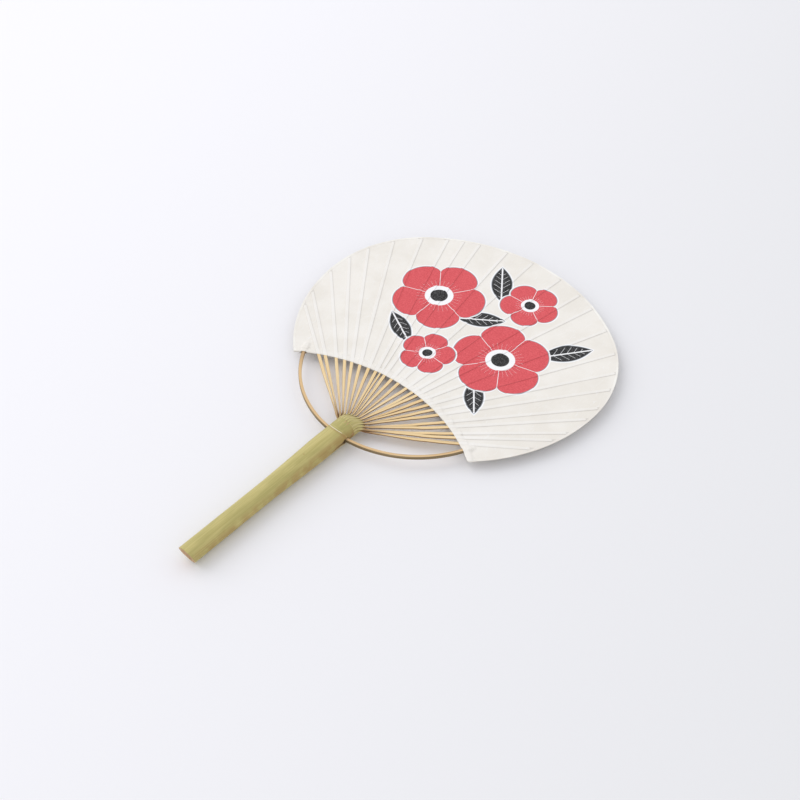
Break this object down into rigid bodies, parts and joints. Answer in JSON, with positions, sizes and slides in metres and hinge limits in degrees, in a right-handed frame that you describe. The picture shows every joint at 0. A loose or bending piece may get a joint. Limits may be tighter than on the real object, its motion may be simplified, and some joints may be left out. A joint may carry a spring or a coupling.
{
  "type": "round uchiwa hand fan",
  "caption": "Rigid round hand fan with a split bamboo handle whose ribs fan out over a bent bow into a paper head with a folded rim.",
  "frame": {"origin": "centre of the bounding box in plan, on the surface that the fan lies on", "axes": "+Y from the handle's end to the top of the head, +Z out of the front of the head, +X to the right seen from the front"},
  "size_m": [0.24, 0.3658, 0.0168],
  "materials": {
    "bamboo_skin": "satin natural bamboo skin, straw green",
    "bamboo_flesh": "split bamboo flesh, matt, fibrous",
    "willow": "cut end grain, matt",
    "paper": "pasted long-fibred paper, matt",
    "edging_paper": "smooth paper strip, matt",
    "cotton_thread": "twisted cotton"
  },
  "bodies": {
    "root": {"handle": "bamboo_skin", "handle_plug": "willow", "bow": "bamboo_flesh", "rib_01": "bamboo_flesh", "rib_02": "bamboo_flesh", "rib_03": "bamboo_flesh", "rib_04": "bamboo_flesh", "rib_05": "bamboo_flesh", "rib_06": "bamboo_flesh", "rib_07": "bamboo_flesh", "rib_08": "bamboo_flesh", "rib_09": "bamboo_flesh", "rib_10": "bamboo_flesh", "rib_11": "bamboo_flesh", "rib_12": "bamboo_flesh", "rib_13": "bamboo_flesh", "rib_14": "bamboo_flesh", "rib_15": "bamboo_flesh", "rib_16": "bamboo_flesh", "rib_17": "bamboo_flesh", "rib_18": "bamboo_flesh", "rib_19": "bamboo_flesh", "rib_20": "bamboo_flesh", "rib_21": "bamboo_flesh", "rib_22": "bamboo_flesh", "rib_23": "bamboo_flesh", "rib_24": "bamboo_flesh", "weaving_thread": "cotton_thread", "front_paper": "paper", "back_paper": "paper", "edge_binding": "edging_paper"}
  },
  "joints": []
}
